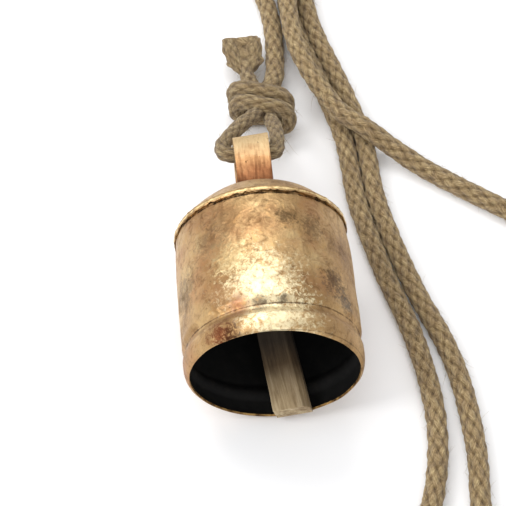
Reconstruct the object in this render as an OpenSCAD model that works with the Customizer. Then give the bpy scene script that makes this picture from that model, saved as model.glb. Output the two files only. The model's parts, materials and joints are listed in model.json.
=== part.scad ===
// Yard dinner bell: a rolled sheet bell with a domed cap, a strap handle, a wooden clapper
// and a jute rope. The bell lies on its side on a surface: +Z is up, the mouth faces -Y,
// and the rope lies behind the crown and beside the bell.
// Bell pieces are drawn standing upright, mouth at z = 0 and crown up, and then laid down.

/* [Bell wall] */
// Outer radius at the bulging band, which the bell lies on
band_r = 47.7; // [40:0.1:60]
// Outer radius just under the crown cap
seam_r = 46.2; // [39:0.1:58]
// Outer radius of the lip, where the band curls in
lip_r = 45; // [37:0.1:56]
// Height from the lip to the edge of the cap
wall_h = 88; // [70:1:140]
// Thickness of the sheet
sheet_t = 1.1; // [0.8:0.1:2]
// Height of the curl from the lip to the widest part of the band
band_h = 8; // [5:0.5:12]
// Height of the middle of the swaged groove above the lip
groove_h = 15; // [13:0.5:22]
// Depth of the groove
groove_d = 1.6; // [0.5:0.1:3]
// Width of the groove
groove_w = 11; // [8:0.5:14]

/* [Crown cap] */
// Height of the dome above the edge of the wall
dome_h = 26; // [18:0.5:36]
// How far the folded collar comes down over the wall
collar_h = 2.8; // [2:0.1:6]
// Clearance between the collar and the wall
collar_gap = 0.1; // [0.05:0.05:0.3]

/* [Strap handle] */
// Width of the strap
strap_w = 20; // [14:0.5:24]
// Thickness of the strap
strap_t = 1.5; // [1:0.1:2.5]
// Inner radius of the arch that the rope passes through
arch_r = 8; // [7.5:0.1:12]
// Height of the middle of the arch above the edge of the wall
arch_h = 57; // [48:0.5:70]
// How far each clenched foot reaches from the bell's axis
foot_reach = 20; // [16:0.5:26]
// Clearance round the strap in its slots
slot_gap = 0.2; // [0.1:0.05:0.4]

/* [Clapper] */
// Width of the clapper stick
clapper_w = 20; // [12:0.5:24]
// Thickness of the clapper stick
clapper_t = 11; // [8:0.5:13]
// How far the clapper reaches out of the mouth
clapper_out = 3; // [1:0.5:10]
// Width of the whittled neck
neck_w = 8; // [6:0.5:9]
// Radius of the hole through the neck
hole_r = 2.6; // [2.3:0.1:3]
// Height of the hole above the mouth
hole_h = 87; // [80:0.5:90]
// How far the hole hangs below the bell's axis
hole_down = 7; // [5:0.5:9]
// How far the hole hangs to the left of the bell's axis
hole_left = 6.5; // [5:0.5:8]
// Turn of the clapper round the bell's axis, where it has come to rest
clapper_turn = 14; // [0:1:30]
// Gap between the clapper's edges and the lip
clapper_gap = 0.4; // [0.3:0.1:1]

/* [Wire fittings] */
// Radius of the staple's wire
staple_wire_r = 1.25; // [1:0.05:1.4]
// Half the width of the staple's eye
staple_half_w = 5.5; // [5:0.1:6]
// Drop of the staple's bend below the dome's inner face
staple_drop = 9.4; // [9:0.1:12]
// Radius of the link's wire
link_wire_r = 1.1; // [0.9:0.05:1.2]
// Radius of the link's round ends
link_r = 7.5; // [7:0.1:8]
// Play between the link and the staple's bend
link_play = 1.2; // [1:0.1:1.5]

/* [Rope] */
// Radius of the jute rope
rope_r = 5.5; // [4:0.1:6.5]
// Radius of the rope where the hitch squeezes it
hitch_r = 4.8; // [4:0.05:5]

/* [Hidden] */
$fn = 96;
eps = 0.01;

brass = "#b8935a";
copper = "#c58a55";
iron = "#3a3734";
stick_wood = "#8f7a58";
jute = "#9c8660";

// places along the bell
strap_top = wall_h + arch_h + arch_r + strap_t;
mouth_y = -(strap_top - clapper_out) / 2;
arch_y = mouth_y + wall_h + arch_h;
dome_r = (seam_r * seam_r + dome_h * dome_h) / (2 * dome_h);
dome_mid = wall_h + dome_h - dome_r;
lip_in_r = lip_r - sheet_t;

// lays an upright bell piece down on its band
module lay_down() {
  translate([0, mouth_y, band_r]) rotate([-90, 0, 0]) children();
}

// ---- bell wall: rolled sheet with a groove and a band that curls in to the lip ----

function bump(u) = abs(u) < 1 ? (1 + cos(180 * u)) / 2 : 0;
function body_r(h) = band_r - (band_r - seam_r) * pow(max(0, (h - wall_h * 0.68) / (wall_h * 0.32)), 2);
function curl(h) = h < band_h ? (band_r - lip_r) * (1 - sqrt(1 - pow(1 - h / band_h, 2))) : 0;
function wall_r(h) = body_r(h) - curl(h) - groove_d * bump((h - groove_h) / (groove_w / 2));

module bell_wall() {
  low = [for (h = [0:1:groove_h + groove_w / 2 + 1]) h];
  high = [for (k = [1:12]) low[len(low) - 1] + (wall_h - low[len(low) - 1]) * k / 12];
  heights = concat(low, high);
  outer = [for (h = heights) [wall_r(h), h]];
  inner = [for (k = [len(heights) - 1:-1:0]) [wall_r(heights[k]) - sheet_t, heights[k]]];
  color(brass) lay_down() rotate_extrude() polygon(concat(outer, inner));
}

// ---- crown cap: dome whose rim is folded down over the wall ----

module dome_profile(r) {
  intersection() {
    translate([0, dome_mid]) circle(r);
    translate([0, wall_h]) square([2 * seam_r, 2 * dome_h]);
  }
}

module strap_slots() {
  w = strap_w + 2 * slot_gap;
  t = strap_t + 2 * slot_gap;
  for (side = [-1, 1])
    translate([0, side * (arch_r + strap_t / 2), wall_h + dome_h / 2]) cube([w, t, 2 * dome_h], center = true);
}

module crown_cap() {
  collar_in = wall_r(wall_h - collar_h) + collar_gap;
  collar_out = collar_in + sheet_t;
  color(brass) lay_down() difference() {
    rotate_extrude() {
      difference() {
        dome_profile(dome_r);
        dome_profile(dome_r - sheet_t);
      }
      translate([collar_in, wall_h - collar_h]) square([collar_out - collar_in, collar_h + sheet_t]);
      translate([seam_r - 2 * sheet_t, wall_h + eps]) square([collar_in - seam_r + 2 * sheet_t + eps, sheet_t - eps]);
    }
    strap_slots();
    for (side = [-1, 1])
      rotate([0, 0, -clapper_turn]) translate([0, side * staple_half_w, wall_h])
        cylinder(r = staple_wire_r + 0.05, h = 2 * dome_h, $fn = 32);
  }
}

// ---- strap handle: arched strip through the cap, feet clenched against its inner face ----

// The strip seen from its edge: two legs and an arch, between the heights low and wall_h + arch_h
module strap_outline(low, r) {
  translate([0, wall_h + arch_h]) circle(r);
  translate([-r, low]) square([2 * r, wall_h + arch_h - low]);
}

module strap_handle() {
  leg_low = dome_mid + sqrt(pow(dome_r - sheet_t - slot_gap, 2) - pow(arch_r + strap_t, 2)) - strap_t;
  color(copper) lay_down() {
    rotate([90, 0, 90]) linear_extrude(strap_w, center = true) difference() {
      strap_outline(leg_low, arch_r + strap_t);
      strap_outline(leg_low - 1, arch_r);
    }
    intersection() {
      translate([0, 0, dome_mid]) difference() {
        sphere(dome_r - sheet_t - slot_gap);
        sphere(dome_r - sheet_t - slot_gap - strap_t);
      }
      for (side = [-1, 1])
        translate([-strap_w / 2, side > 0 ? arch_r : -foot_reach, wall_h]) cube([strap_w, foot_reach - arch_r, 2 * dome_h]);
    }
  }
}

// ---- clapper staple: wire eye through the cap, its ends peened over outside ----

// Faces the wire fittings and the clapper the way that they have turned round the bell's axis
module turned() {
  lay_down() rotate([0, 0, -clapper_turn]) children();
}

staple_low = wall_h + dome_h - sheet_t - staple_drop;

module half_ring(ring_r, wire_r) {
  rotate_extrude(angle = 180) translate([ring_r, 0]) circle(wire_r, $fn = 32);
}

module clapper_staple() {
  bend_mid = staple_low + staple_half_w;
  leg_top = dome_mid + sqrt(dome_r * dome_r - pow(staple_half_w + staple_wire_r, 2)) + 0.3;
  color(iron) turned() {
    translate([0, 0, bend_mid]) rotate([0, 90, 0]) rotate([0, 0, -90]) half_ring(staple_half_w, staple_wire_r);
    for (side = [-1, 1]) translate([0, side * staple_half_w, 0]) {
      translate([0, 0, bend_mid]) cylinder(r = staple_wire_r, h = leg_top - bend_mid, $fn = 32);
      translate([0, 0, leg_top - eps]) cylinder(r1 = 2 * staple_wire_r, r2 = staple_wire_r, h = 1.2, $fn = 32);
    }
  }
}

// ---- clapper link: closed oval of wire through the staple's eye and the clapper's hole ----

hole_depth = staple_low - hole_h;
link_lean = atan(hole_down / hole_depth);
link_long = sqrt(hole_down * hole_down + hole_depth * hole_depth);
link_top_mid = link_r - staple_wire_r - link_wire_r - link_play;
sag_in_hole = link_r - sqrt(link_r * link_r - neck_w * neck_w / 4);
link_low_mid = link_long - link_r + sag_in_hole / 2;
link_slant = atan(hole_left / (link_low_mid - link_top_mid));
link_straight = sqrt(hole_left * hole_left + pow(link_low_mid - link_top_mid, 2));

module clapper_link() {
  color(iron) turned() translate([0, 0, staple_low]) rotate([link_lean, 0, 0]) translate([0, 0, -link_top_mid])
    rotate([0, link_slant, 0]) {
      rotate([90, 0, 0]) half_ring(link_r, link_wire_r);
      translate([0, 0, -link_straight]) rotate([-90, 0, 0]) half_ring(link_r, link_wire_r);
      for (side = [-1, 1]) translate([side * link_r, 0, -link_straight])
        cylinder(r = link_wire_r, h = link_straight, $fn = 32);
    }
}

// ---- clapper: wooden stick with a whittled and drilled neck, resting on the lip ----

rest_at = sqrt(lip_in_r * lip_in_r - clapper_w * clapper_w / 4) - clapper_gap;
rest_far = sqrt(pow(rest_at - hole_down, 2) + hole_h * hole_h);
clapper_lean = atan((rest_at - hole_down) / hole_h) - asin(clapper_t / 2 / rest_far);
clapper_long = hole_h / cos(clapper_lean) + 20;
clapper_slant = asin(hole_left / (clapper_long - 20));
neck_h = 8;
neck_top = 6;

module clapper() {
  color(stick_wood) turned() intersection() {
    translate([-hole_left, hole_down, hole_h]) rotate([clapper_lean, 0, 0]) rotate([0, -clapper_slant, 0])
      difference() {
        rotate([90, 0, 0]) linear_extrude(clapper_t, center = true) polygon([
          [-neck_w / 2, neck_top], [neck_w / 2, neck_top], [neck_w / 2, -neck_h],
          [clapper_w / 2, -neck_h - clapper_w / 2], [clapper_w / 2, -clapper_long],
          [-clapper_w / 2, -clapper_long], [-clapper_w / 2, -neck_h - clapper_w / 2], [-neck_w / 2, -neck_h]]);
        rotate([0, 90, 0]) cylinder(r = hole_r, h = 2 * neck_w, center = true, $fn = 48);
      }
    translate([-band_r, -band_r, -clapper_out]) cube([2 * band_r, 2 * band_r, 2 * wall_h]);
  }
}

// ---- rope ----

// A smooth curve through a route's points, with steps rings between each two
function point_at(p, i) = p[max(0, min(len(p) - 1, i))];
function unit(v) = v / norm(v);
function spline(a, b, c, d, t) =
  let (go = c - b, leave = norm(go) * unit(c - a), arrive = norm(go) * unit(d - b))
  b + leave * t + (3 * go - 2 * leave - arrive) * t * t + (leave + arrive - 2 * go) * t * t * t;
function route(p, steps) = concat(
  [for (i = [0:len(p) - 2]) for (k = [0:steps - 1])
    spline(point_at(p, i - 1), p[i], p[i + 1], point_at(p, i + 2), k / steps)],
  [p[len(p) - 1]]);

// Sweeps a round tube of radius r along the points of line
module tube(line, r, sides = 10) {
  last = len(line) - 1;
  ring = function(i)
    let (ahead = unit(line[min(last, i + 1)] - line[max(0, i - 1)]),
         side = unit(cross(ahead, [0, 0, 1])),
         top = cross(side, ahead))
    [for (k = [0:sides - 1]) line[i] + r * (cos(360 * k / sides) * side + sin(360 * k / sides) * top)];
  points = [for (i = [0:last]) each ring(i)];
  walls = [for (i = [0:last - 1]) for (k = [0:sides - 1])
    let (a = i * sides + k, b = i * sides + (k + 1) % sides) [a, b, b + sides, a + sides]];
  polyhedron(points, concat(walls, [[for (k = [sides - 1:-1:0]) k]],
    [[for (k = [0:sides - 1]) last * sides + k]]), convexity = 10);
}

knot_wrap_r = 10.4;
knot_half_w = 5.2;
knot_at = [11, 126, knot_wrap_r + hitch_r];

// from the knot, over the left edge of the strap, through the arch and back behind it
hitch_y = arch_y - 1.8;
hitch_route = [
  [5.5, 114, 20], [1, 105, 29], [-5.5, 95, 35], [-11.5, 86, 39.5], [-15, 77, 43], [-13.4, 70, 46],
  [-7.5, hitch_y, band_r], [0, hitch_y, band_r], [7.5, hitch_y, band_r],
  [13.4, 69.5, 46], [15.2, 77, 42.5], [15.8, 90, 36], [16, 102, 29], [16.5, 114, 19]];

module rope_hitch() {
  color(jute) tube(route(hitch_route, 2), hitch_r);
}

// two wraps of rope, oval because they hold two strands
module wrap() {
  for (side = [0, 180]) rotate([0, side, 0]) translate([knot_half_w, 0, 0])
    rotate([90, 0, 0]) rotate([0, 0, -90]) half_ring(knot_wrap_r, hitch_r);
  for (side = [-1, 1]) translate([0, 0, side * knot_wrap_r]) rotate([0, 90, 0])
    cylinder(r = hitch_r, h = 2 * knot_half_w, center = true, $fn = 32);
}

module rope_knot() {
  color(jute) translate(knot_at) {
    for (side = [-1, 1]) {
      translate([0, side * hitch_r, 0]) wrap();
      translate([side * (hitch_r + 0.1), 0, 0]) rotate([90, 0, 0])
        cylinder(r = hitch_r, h = 5 * hitch_r, center = true, $fn = 32);
    }
  }
}

tail_route = [[6, 138, 15.4], [5, 148, 12], [4.5, 158, 11], [4.5, 169, 12], [4.5, 180, 12]];

module rope_tail() {
  color(jute) tube(route(tail_route, 1), 7);
}

// the long rope, from the knot: out of the way and back in long turns on the surface
rope_route = [
  [16.5, 138, 13], [22, 156, 8], [23, 205, 5.6],
  [12, 245, 5.6], [-6, 282, 5.6], [5, 305, 5.6], [30, 305, 5.6], [39.5, 282, 5.6], [34, 238, 5.6],
  [36.5, 195, 5.6], [49, 145, 5.6], [58, 105, 5.6], [61, 57, 5.6], [70, 10, 5.6], [82, -38, 5.6], [86.5, -88, 5.6],
  [79, -132, 5.6], [62, -170, 5.6],
  [62, -195, 5.6], [75, -212, 5.6], [95, -210, 5.6], [105, -190, 5.6],
  [102.5, -148, 5.6], [105.5, -103, 5.6], [101, -52, 5.6], [84.5, 2, 5.6], [72.5, 57, 5.6], [69.5, 105, 5.6],
  [60.7, 145, 5.6], [48, 195, 5.6], [46, 240, 5.6],
  [52, 272, 5.6], [65, 292, 5.6], [88, 292, 5.6], [99, 272, 5.6], [92, 256, 7], [75, 247, 12],
  [55, 243, 16.9], [40, 230, 16.9], [34.5, 205, 16.9], [37, 165, 16.9], [55, 119, 17.2], [71, 102.5, 17],
  [85, 93, 10], [106, 76, 5.6], [160, 35, 5.6]];

module rope() {
  color(jute) tube(route(rope_route, 2), rope_r);
}

end_knot_at = [167.2, 29.6, 9.5];

module rope_end_knot() {
  color(jute) translate(end_knot_at) sphere(9.5);
}

bell_wall();
crown_cap();
strap_handle();
clapper_staple();
clapper_link();
clapper();
rope_hitch();
rope_knot();
rope_tail();
rope();
rope_end_knot();
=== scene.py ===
import json
import math
import random

import bpy
import numpy as np
from mathutils import Matrix, Vector, noise


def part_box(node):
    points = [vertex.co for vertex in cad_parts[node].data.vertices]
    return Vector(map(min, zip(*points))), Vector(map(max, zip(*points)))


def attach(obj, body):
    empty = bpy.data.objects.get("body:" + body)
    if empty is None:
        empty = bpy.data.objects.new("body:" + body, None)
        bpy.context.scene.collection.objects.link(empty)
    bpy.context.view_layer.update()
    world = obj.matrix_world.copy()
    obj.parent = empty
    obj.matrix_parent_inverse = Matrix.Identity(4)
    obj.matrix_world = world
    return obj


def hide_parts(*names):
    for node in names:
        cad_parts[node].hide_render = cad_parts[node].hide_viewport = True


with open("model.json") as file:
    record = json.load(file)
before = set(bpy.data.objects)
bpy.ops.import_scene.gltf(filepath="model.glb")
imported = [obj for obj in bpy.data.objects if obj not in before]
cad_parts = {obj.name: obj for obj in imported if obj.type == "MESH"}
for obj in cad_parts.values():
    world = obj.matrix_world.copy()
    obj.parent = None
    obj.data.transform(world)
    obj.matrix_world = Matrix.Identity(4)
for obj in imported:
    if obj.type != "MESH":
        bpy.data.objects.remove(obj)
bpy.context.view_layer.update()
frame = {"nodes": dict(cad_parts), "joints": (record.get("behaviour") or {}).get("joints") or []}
mm = 0.001


def report(stage):
    print("scene:", stage)


# helpers

def deselectAll():
    if bpy.context.object and bpy.context.object.mode != "OBJECT":
        bpy.ops.object.mode_set(mode="OBJECT")
    bpy.ops.object.select_all(action="DESELECT")


def startPiece(name):
    # the primitive that was just added becomes a named piece with its place in its mesh
    piece = bpy.context.object
    piece.name = name
    piece.data.name = name
    bpy.ops.object.transform_apply(location=True, rotation=True, scale=True)
    return piece


def editAll(piece):
    deselectAll()
    piece.select_set(True)
    bpy.context.view_layer.objects.active = piece
    bpy.ops.object.mode_set(mode="EDIT")
    bpy.ops.mesh.select_all(action="SELECT")


def selectVertices(piece, test):
    # leaves edit mode with only the vertices that pass the test selected
    bpy.ops.object.mode_set(mode="EDIT")
    bpy.ops.mesh.select_mode(type="VERT")
    bpy.ops.mesh.select_all(action="DESELECT")
    bpy.ops.object.mode_set(mode="OBJECT")
    for v in piece.data.vertices:
        v.select = test(v.co)
    bpy.ops.object.mode_set(mode="EDIT")


def applyModifier(piece, kind, **settings):
    mod = piece.modifiers.new(kind.title(), kind)
    for key, value in settings.items():
        setattr(mod, key, value)
    deselectAll()
    piece.select_set(True)
    bpy.context.view_layer.objects.active = piece
    bpy.ops.object.modifier_apply(modifier=mod.name)


def reshape(piece, rule):
    # pushes every vertex to where the rule says, as a sculpting brush would
    for v in piece.data.vertices:
        v.co = rule(v.co)
    piece.data.update()


def smooth(piece, degrees=40):
    deselectAll()
    piece.select_set(True)
    bpy.context.view_layer.objects.active = piece
    bpy.ops.object.shade_smooth_by_angle(angle=math.radians(degrees))


def meshPiece(name, points, faces):
    mesh = bpy.data.meshes.new(name)
    mesh.from_pydata(points, [], faces)
    piece = bpy.data.objects.new(name, mesh)
    bpy.context.collection.objects.link(piece)
    return piece


# camera

cameraView = {
    "lens": 135.2,
    "distance": 1.0446,
    "down": 56.93,
    "turn": 5.04,
    "target": (-0.00452, 0.00647, 0.0394),
}


def makeCamera():
    down = math.radians(cameraView["down"])
    turn = math.radians(cameraView["turn"])
    back = Vector((-math.sin(turn) * math.cos(down), -math.cos(turn) * math.cos(down), math.sin(down)))
    data = bpy.data.cameras.new("camera")
    data.lens = cameraView["lens"]
    data.sensor_width = 36
    camera = bpy.data.objects.new("camera", data)
    bpy.context.collection.objects.link(camera)
    camera.location = Vector(cameraView["target"]) + back * cameraView["distance"]
    camera.rotation_mode = "QUATERNION"
    camera.rotation_quaternion = (-back).to_track_quat("-Z", "Y")
    bpy.context.scene.camera = camera


makeCamera()
report("camera")

# materials: one function adds every node, and one turns hex colours to linear


def linear(hexColour):
    parts = [int(hexColour[i:i + 2], 16) / 255 for i in (1, 3, 5)]
    return tuple(c / 12.92 if c <= 0.04045 else ((c + 0.055) / 1.055) ** 2.4 for c in parts) + (1,)


def newMaterial(name):
    material = bpy.data.materials.new(name)
    material.use_nodes = True
    tree = material.node_tree
    tree.nodes.clear()
    return material, tree


def addNode(tree, kind, links=None, stops=(), **settings):
    # settings name a socket or a property, links give a socket an output or a value, and stops
    # are a colour ramp's places with their colours or greys
    node = tree.nodes.new(kind)
    for key, value in settings.items():
        if hasattr(node, key):
            setattr(node, key, value)
        else:
            node.inputs[key.replace("_", " ")].default_value = value
    for key, source in (links or {}).items():
        if hasattr(source, "links"):
            tree.links.new(source, node.inputs[key])
        else:
            node.inputs[key].default_value = source
    elements = node.color_ramp.elements if stops else ()
    while len(elements) < len(stops):
        elements.new(0.5)
    for element, (place, colour) in zip(elements, stops):
        element.position = place
        element.color = linear(colour) if isinstance(colour, str) else (colour, colour, colour, 1)
    return node


# a Mix node set to colours takes its share at socket 0 and its colours at 6 and 7, and gives socket 2
def finishShader(tree, links, **settings):
    shader = addNode(tree, "ShaderNodeBsdfPrincipled", links, **settings)
    addNode(tree, "ShaderNodeOutputMaterial", {"Surface": shader.outputs["BSDF"]})


def juteMaterial(name, tone=1.0):
    # jute: dull, dry bast fibre in loose yarns, pale on the crowns of the strands and darker brown in the
    # hollows, where the darkening is painted shade
    material, tree = newMaterial(name)
    yarn = addNode(tree, "ShaderNodeUVMap", uv_map="strand")
    place = addNode(tree, "ShaderNodeTexCoord")
    stretch = addNode(tree, "ShaderNodeMapping", {"Vector": yarn.outputs["UV"]}, Scale=(0.2, 1.9, 1))
    fibre = addNode(tree, "ShaderNodeTexNoise", {"Vector": stretch.outputs["Vector"]},
                    Scale=1.3, Detail=6, Roughness=0.7, Distortion=0.6)
    fine = addNode(tree, "ShaderNodeMapping", {"Vector": yarn.outputs["UV"]}, Scale=(0.5, 7.0, 1))
    hair = addNode(tree, "ShaderNodeTexNoise", {"Vector": fine.outputs["Vector"]}, Scale=1.5, Detail=3)
    patch = addNode(tree, "ShaderNodeTexNoise", {"Vector": place.outputs["Object"]}, Scale=210, Detail=4,
                    Roughness=0.7)
    hollow = addNode(tree, "ShaderNodeAttribute", attribute_name="height")
    fibreColour = addNode(
        tree, "ShaderNodeValToRGB", {"Fac": fibre.outputs["Fac"]},
        stops=[(0.3, "#4a3d2c"), (0.43, "#8a7756"), (0.54, "#b8a581"), (0.68, "#f0e2c4")]).outputs["Color"]
    patchColour = addNode(
        tree, "ShaderNodeValToRGB", {"Fac": patch.outputs["Fac"]},
        stops=[(0.32, "#8b7456"), (0.46, "#bda988"), (0.58, "#cfc2a6"), (0.7, "#f0e6cf")]).outputs["Color"]
    mixed = addNode(tree, "ShaderNodeMix", {0: 0.75, 6: fibreColour, 7: patchColour},
                    data_type="RGBA", blend_type="MULTIPLY").outputs[2]
    # painted shade: darker in the hollows between the strands, driven by the strand height
    paintedHollowShade = addNode(tree, "ShaderNodeValToRGB", {"Fac": hollow.outputs["Fac"]},
                         stops=[(0.05, "#4a3826"), (0.4, "#a8946f"), (0.85, "#fffaf0")]).outputs["Color"]
    shaded = addNode(tree, "ShaderNodeMix", {0: 0.85, 6: mixed, 7: paintedHollowShade},
                     data_type="RGBA", blend_type="MULTIPLY").outputs[2]
    lifted = addNode(
        tree, "ShaderNodeMix", {0: 1.0, 6: shaded, 7: (1.3 * tone, 1.38 * tone, 1.52 * tone, 1)},
        data_type="RGBA", blend_type="MULTIPLY").outputs[2]
    relief = addNode(tree, "ShaderNodeMix", {0: 0.45, 6: fibre.outputs["Color"], 7: hair.outputs["Color"]},
                     data_type="RGBA").outputs[2]
    bump = addNode(tree, "ShaderNodeBump", {"Height": relief}, Strength=0.85, Distance=0.0014)
    finishShader(tree, {"Base Color": lifted, "Normal": bump.outputs["Normal"]},
                 Roughness=0.88, Sheen_Weight=0.15, Sheen_Roughness=0.5)
    return material


def ironMaterial():
    # iron wire: drawn, blackened and dull, with rust starting in patches
    material, tree = newMaterial("blackened iron wire")
    place = addNode(tree, "ShaderNodeTexCoord")
    rust = addNode(tree, "ShaderNodeTexNoise", {"Vector": place.outputs["Object"]}, Scale=420, Detail=5)
    colour = addNode(tree, "ShaderNodeValToRGB", {"Fac": rust.outputs["Fac"]},
                     stops=[(0.4, "#3a3632"), (0.58, "#4a3d33"), (0.7, "#6b4427")]).outputs["Color"]
    rough = addNode(tree, "ShaderNodeValToRGB", {"Fac": rust.outputs["Fac"]},
                    stops=[(0.4, 0.42), (0.7, 0.85)]).outputs["Color"]
    bump = addNode(tree, "ShaderNodeBump", {"Height": rust.outputs["Fac"]}, Strength=0.4, Distance=0.0003)
    finishShader(tree, {"Base Color": colour, "Roughness": rough, "Normal": bump.outputs["Normal"]},
                 Metallic=0.7)
    return material


# rope: a plaited tube that follows a route

rope = {
    "radius": 5.85,       # mm, over the strands
    "strands": 6,         # each way round
    "pitch": 11.5,        # mm along the rope from one strand to the next one of the same hand
    "relief": 1.5,        # mm from the crown of a strand to the bottom of a hollow
    "ringStep": 1.05,     # mm
    "sides": 48,
    "diameter": 0.011,
    "exit": (0.0165, 0.138, 0.013),
}

ropeRoute = [
    (16.5, 138, 13), (22, 156, 8), (23, 205, 5.6),
    (12, 245, 5.6), (-6, 282, 5.6), (5, 305, 5.6), (30, 305, 5.6), (39.5, 282, 5.6), (34, 238, 5.6),
    (36.5, 195, 5.6), (49, 145, 5.6), (58, 105, 5.6), (61, 57, 5.6), (70, 10, 5.6), (82, -38, 5.6),
    (86.5, -88, 5.6), (79, -132, 5.6), (62, -170, 5.6),
    (62, -195, 5.6), (75, -212, 5.6), (95, -210, 5.6), (105, -190, 5.6),
    (102.5, -148, 5.6), (105.5, -103, 5.6), (101, -52, 5.6), (84.5, 2, 5.6), (72.5, 57, 5.6),
    (69.5, 105, 5.6), (60.7, 145, 5.6), (48, 195, 5.6), (46, 240, 5.6),
    (52, 272, 5.6), (65, 292, 5.6), (88, 292, 5.6), (99, 272, 5.6), (92, 256, 7), (75, 247, 12),
    (55, 243, 16.9), (40, 230, 16.9), (34.5, 205, 16.9), (37, 165, 16.9), (55, 119, 17.2),
    (71, 102.5, 17), (85, 93, 10), (106, 76, 5.6), (160, 35, 5.6),
]


def unit(v):
    return v / np.linalg.norm(v)


def smoothRoute(route, steps):
    # a smooth curve through the points, whose tangents are as long as each stretch
    p = [np.array(q, float) for q in route]
    line = []
    for i in range(len(p) - 1):
        before, start, end, after = p[max(0, i - 1)], p[i], p[i + 1], p[min(len(p) - 1, i + 2)]
        go = end - start
        leave = np.linalg.norm(go) * unit(end - before)
        arrive = np.linalg.norm(go) * unit(after - start)
        for k in range(steps):
            t = k / steps
            line.append(start + leave * t + (3 * go - 2 * leave - arrive) * t * t
                        + (leave + arrive - 2 * go) * t * t * t)
    line.append(p[-1])
    return np.array(line)


def evenly(line, step):
    far = np.concatenate([[0], np.cumsum(np.linalg.norm(np.diff(line, axis=0), axis=1))])
    stops = np.linspace(0, far[-1], max(2, int(round(far[-1] / step)) + 1))
    return np.stack([np.interp(stops, far, line[:, k]) for k in range(3)], 1), stops


def carriedFrames(line):
    # a side and a top for each ring, carried along so that the tube doesn't twist
    ahead = np.gradient(line, axis=0)
    ahead /= np.linalg.norm(ahead, axis=1)[:, None]
    side = np.cross(ahead[0], (0, 0, 1.0))
    if np.linalg.norm(side) < 0.1:
        side = np.cross(ahead[0], (1.0, 0, 0))
    side = unit(side)
    sides = []
    for d in ahead:
        side = unit(side - d * side.dot(d))
        sides.append(side)
    sides = np.array(sides)
    return ahead, sides, np.cross(sides, ahead)


def plait(around, along, look):
    # how high each point of a plait lies, and whether a right-handed strand is on top there
    n, pitch = look["strands"], look["pitch"]
    a = n * around / (2 * math.pi) - along / pitch
    b = n * around / (2 * math.pi) + along / pitch
    rise = 0.42

    def crown(x):
        return np.sqrt(np.clip(1 - (2 * (x - np.floor(x) - 0.5) / 0.96) ** 2, 0, 1))

    right = 0.62 * crown(a) + rise * np.sin(math.pi * b) * np.where(np.floor(a) % 2, -1, 1)
    left = 0.62 * crown(b) - rise * np.sin(math.pi * a) * np.where(np.floor(b) % 2, -1, 1)
    return np.clip(np.maximum(right, left), 0, 1.04) / 1.04, right >= left


def plaitedTube(name, line, radius, look, shape=None, phase=0.0):
    # shape(far, total) gives the width and the height of the tube, as shares of its radius
    line, far = evenly(line, look["ringStep"])
    ahead, side, top = carriedFrames(line)
    rings, sides = len(line), look["sides"]
    turn = np.arange(sides) * 2 * math.pi / sides
    around, along = np.meshgrid(turn, far + phase)
    height, _ = plait(around, along, look)
    wander = np.array([noise.noise(Vector((f * 0.09 + phase, 3.1, 0.7))) for f in far])
    lumps = np.array([
        [noise.noise(Vector((f * 0.21 + phase, 2 * math.cos(t), 2 * math.sin(t)))) for t in turn]
        for f in far])
    hollow = look["relief"] * radius / look["radius"] * (1 - height)
    reach = radius * (1 + 0.035 * wander[:, None] + 0.05 * lumps) - hollow
    wide = np.ones(rings)
    high = np.ones(rings)
    if shape:
        wide, high = np.array([shape(f, far[-1]) for f in far]).T
    points = (line[:, None, :]
              + (reach * np.cos(around) * wide[:, None])[..., None] * side[:, None, :]
              + (reach * np.sin(around) * high[:, None])[..., None] * top[:, None, :])
    ends = [line[0] - ahead[0] * 0.6, line[-1] + ahead[-1] * 0.6]
    verts = np.concatenate([points.reshape(-1, 3), ends]) * mm
    verts[:, 2] = np.maximum(verts[:, 2], 0.02 * mm)
    ring = np.arange(rings - 1)[:, None] * sides
    k = np.arange(sides)[None, :]
    nxt = (k + 1) % sides
    quads = np.stack([ring + k, ring + sides + k, ring + sides + nxt, ring + nxt], -1).reshape(-1, 4)
    last = (rings - 1) * sides
    caps = [[int(rings * sides), i, (i + 1) % sides] for i in range(sides)]
    caps += [[int(rings * sides + 1), last + (i + 1) % sides, last + i] for i in range(sides)]
    piece = meshPiece(name, verts.tolist(), quads.tolist() + caps)
    # each face takes its map from the strand on top there, along it and across it, in mm
    mesh = piece.data
    uv = mesh.uv_layers.new(name="strand")
    mid = (k[0] + 0.5) * 2 * math.pi / sides
    midAround, midAlong = np.meshgrid(mid, (far[:-1] + far[1:]) / 2 + phase)
    _, isRight = plait(midAround, midAlong, look)
    isRight = isRight.reshape(-1)
    cornerTurn = np.stack([k[0], k[0], k[0] + 1, k[0] + 1], -1)[None] * 2 * math.pi / sides
    cornerTurn = np.broadcast_to(cornerTurn, (rings - 1, sides, 4)).reshape(-1, 4)
    f0 = np.broadcast_to(far[:-1, None], (rings - 1, sides))
    f1 = np.broadcast_to(far[1:, None], (rings - 1, sides))
    cornerFar = np.stack([f0, f1, f1, f0], -1).reshape(-1, 4) + phase
    hand = np.where(isRight, 1.0, -1.0)[:, None]
    across = look["strands"] * cornerTurn / (2 * math.pi) - hand * cornerFar / look["pitch"]
    lengthwise = cornerFar + hand * cornerTurn * radius * 0.5
    mapped = np.zeros((len(mesh.loops), 2))
    mapped[:len(quads) * 4, 0] = lengthwise.reshape(-1)
    mapped[:len(quads) * 4, 1] = (across * 7 + hand * 31).reshape(-1)
    uv.data.foreach_set("uv", mapped.reshape(-1))
    tall = mesh.attributes.new("height", "FLOAT", "POINT")
    tall.data.foreach_set("value", np.concatenate([height.reshape(-1), [0.3, 0.3]]).astype(np.float32))
    for polygon in mesh.polygons:
        polygon.use_smooth = True
    return piece, line, (side, top, far)


jute = juteMaterial("plaited jute")
ropeLine = smoothRoute(ropeRoute, 16)
longRope, ropeCentre, ropeFrames = plaitedTube("longRope", ropeLine, rope["radius"], rope)
longRope.data.materials.append(jute)
report("long rope")

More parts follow.
